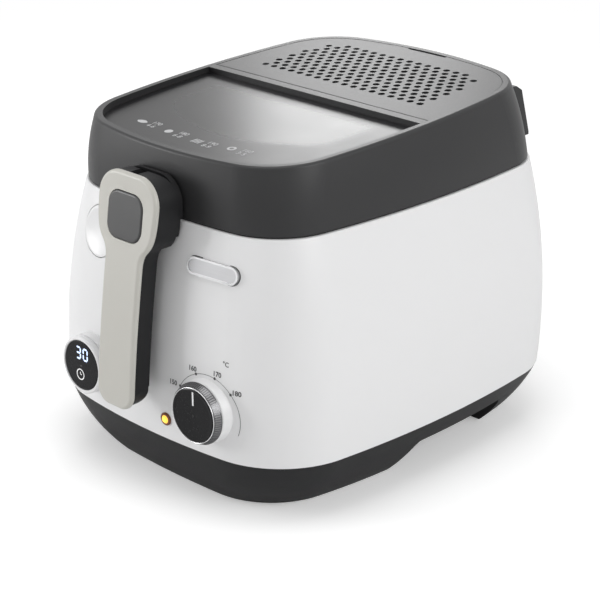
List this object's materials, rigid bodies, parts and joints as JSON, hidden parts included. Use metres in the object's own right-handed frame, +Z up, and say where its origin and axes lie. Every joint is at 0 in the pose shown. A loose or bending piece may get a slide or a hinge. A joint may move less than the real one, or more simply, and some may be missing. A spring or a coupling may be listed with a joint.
{
  "type": "deep fryer",
  "caption": "Household deep fryer: rounded white body on a dark base, hinged windowed lid with a vented filter cover, lifting basket with a folding handle, dial and timer.",
  "frame": {"origin": "on the floor under the plan centre of the base", "axes": "+Z up, -Y the front with the controls, +X the user's right facing the front"},
  "size_m": [0.2876, 0.3766, 0.2758],
  "materials": {
    "white_shell": "gloss moulded plastic",
    "dark_plastic": "fine satin moulded plastic",
    "grey_handle": "satin paint",
    "smoke_window": "smoked clear plate",
    "black_plastic": "gloss moulded plastic",
    "knob_silver": "satin chrome plating",
    "white_mark": "printed mark",
    "plate_silver": "bright plating",
    "pilot_amber": "clear amber lens",
    "pilot_rim": "dark amber plastic",
    "tub_coat": "non-stick coating",
    "steel": "drawn steel",
    "element_steel": "heat-tinted steel sheath",
    "soft_rubber": "moulded rubber",
    "seal_rubber": "silicone",
    "foam": "open foam",
    "charcoal": "charcoal fleece",
    "beige_plastic": "moulded plastic",
    "board_green": "lacquered board"
  },
  "bodies": {
    "housing": {"base_tray": "dark_plastic", "rubber_feet": "soft_rubber", "body_shell": "white_shell", "rim_frame": "dark_plastic", "frying_tub": "tub_coat", "heating_element": "element_steel", "heat_shield": "steel", "terminal_block": "beige_plastic", "thermal_cutout": "steel", "knob_plinth": "white_shell", "thermostat": "beige_plastic", "timer_collar": "white_shell", "timer_board": "board_green", "timer_switch": "black_plastic", "pilot_bezel": "pilot_rim", "pilot_lens": "pilot_amber", "name_plate": "plate_silver", "release_guide": "white_shell", "cord_gland": "black_plastic", "hinge_bracket": "dark_plastic", "hinge_pin": "steel"},
    "lid": {"lid_shell": "dark_plastic", "viewing_window": "smoke_window", "window_seal": "seal_rubber", "filter_tray": "dark_plastic", "charcoal_filter": "charcoal", "foam_filter": "foam", "lid_gasket": "seal_rubber", "hinge_cover": "dark_plastic"},
    "filter_flap": {"filter_cover": "dark_plastic"},
    "basket_unit": {"basket": "steel", "basket_rim": "steel", "basket_hanger": "steel", "handle_bracket": "dark_plastic", "handle_pin": "steel"},
    "handle": {"handle_cover": "grey_handle", "handle_shell": "dark_plastic"},
    "handle_catch": {"handle_button": "black_plastic"},
    "knob": {"knob_ring": "knob_silver", "knob_cap": "black_plastic", "knob_pointer": "white_mark", "knob_shaft": "steel"},
    "timer_key": {"timer_button": "black_plastic"},
    "release_key": {"release_button": "white_shell"}
  },
  "joints": [
    {"name": "lid_hinge", "type": "hinge", "parent": "housing", "child": "lid", "pos_m": [0, 0.168, 0.214], "axis": [-1, 0, 0], "range_deg": [0, 80]},
    {"name": "filter_flap_hinge", "type": "hinge", "parent": "lid", "child": "filter_flap", "pos_m": [0, 0.01107, 0.26727], "axis": [1, 0, 0], "range_deg": [0, 95]},
    {"name": "basket_lift", "type": "slide", "parent": "housing", "child": "basket_unit", "axis": [0, 0, 1], "range_m": [0, 0.036]},
    {"name": "handle_swing", "type": "hinge", "parent": "basket_unit", "child": "handle", "pos_m": [0, -0.168, 0.238], "axis": [-1, 0, 0], "range_deg": [0, 90]},
    {"name": "handle_button_press", "type": "slide", "parent": "handle", "child": "handle_catch", "axis": [0, 0.9903, -0.1386], "range_m": [0, 0.002], "stiffness_N_per_m": 400},
    {"name": "knob_turn", "type": "hinge", "parent": "housing", "child": "knob", "pos_m": [0.0638, -0.16677, 0.082], "axis": [0.0523, -0.9984, 0.0215], "range_deg": [-60, 75]},
    {"name": "timer_press", "type": "slide", "parent": "housing", "child": "timer_key", "axis": [0, 0.9998, -0.0202], "range_m": [0, 0.001], "stiffness_N_per_m": 600},
    {"name": "release_press", "type": "slide", "parent": "housing", "child": "release_key", "axis": [0.1056, 0.9758, -0.1916], "range_m": [0, 0.003], "stiffness_N_per_m": 500}
  ]
}
